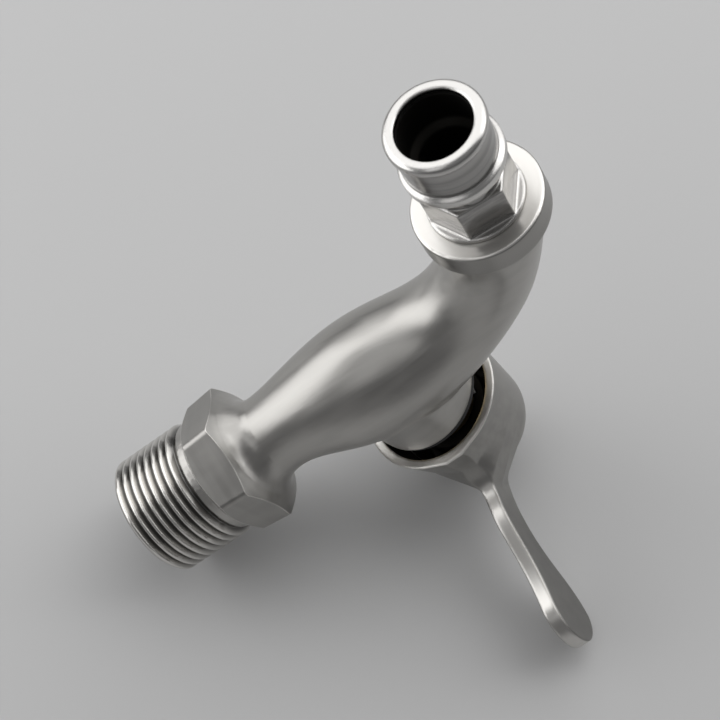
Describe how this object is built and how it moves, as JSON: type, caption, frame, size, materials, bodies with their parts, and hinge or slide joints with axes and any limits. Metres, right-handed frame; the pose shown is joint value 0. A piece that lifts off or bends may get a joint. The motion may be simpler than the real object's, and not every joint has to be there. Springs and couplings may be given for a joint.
{
  "type": "washing machine tap",
  "caption": "Wall tap for a washing machine: threaded inlet, bent round body, bell handle with upright lever, and a quick-connect hose nozzle.",
  "frame": {"origin": "centre of the inlet's open end, on the inlet axis", "axes": "+X from the inlet's open end along the inlet, away from the wall; +Z along the handle's turning axis, with the handle on top; the lever points to +Y at rest"},
  "size_m": [0.0944, 0.0547, 0.0857],
  "materials": {
    "satin_steel": "satin, lightly brushed stainless steel",
    "nozzle_steel": "turned stainless steel with bright machined edges",
    "spring_steel": "plain stainless steel",
    "brass": "machined brass",
    "rubber": "matt black rubber",
    "white_plastic": "matt white plastic",
    "ceramic": "lapped white ceramic"
  },
  "bodies": {
    "body": {"tap_body": "satin_steel", "hose_nozzle": "nozzle_steel", "nozzle_seal": "rubber", "headwork_housing": "brass", "bonnet_gasket": "rubber", "seat_seal": "rubber", "seat_sleeve": "white_plastic", "fixed_disc": "ceramic"},
    "turning_head": {"handle": "satin_steel", "spline_insert": "white_plastic", "handle_screw": "spring_steel", "lock_washer": "spring_steel", "cap_plug": "satin_steel", "spindle": "brass", "spindle_oring_1": "rubber", "spindle_oring_2": "rubber", "retaining_clip": "spring_steel", "friction_washer": "white_plastic", "turning_disc": "ceramic"}
  },
  "joints": [
    {"name": "handle_turn", "type": "hinge", "parent": "body", "child": "turning_head", "pos_m": [0.0465, 0, 0], "axis": [0, 0, 1], "range_deg": [-90, 0]}
  ]
}
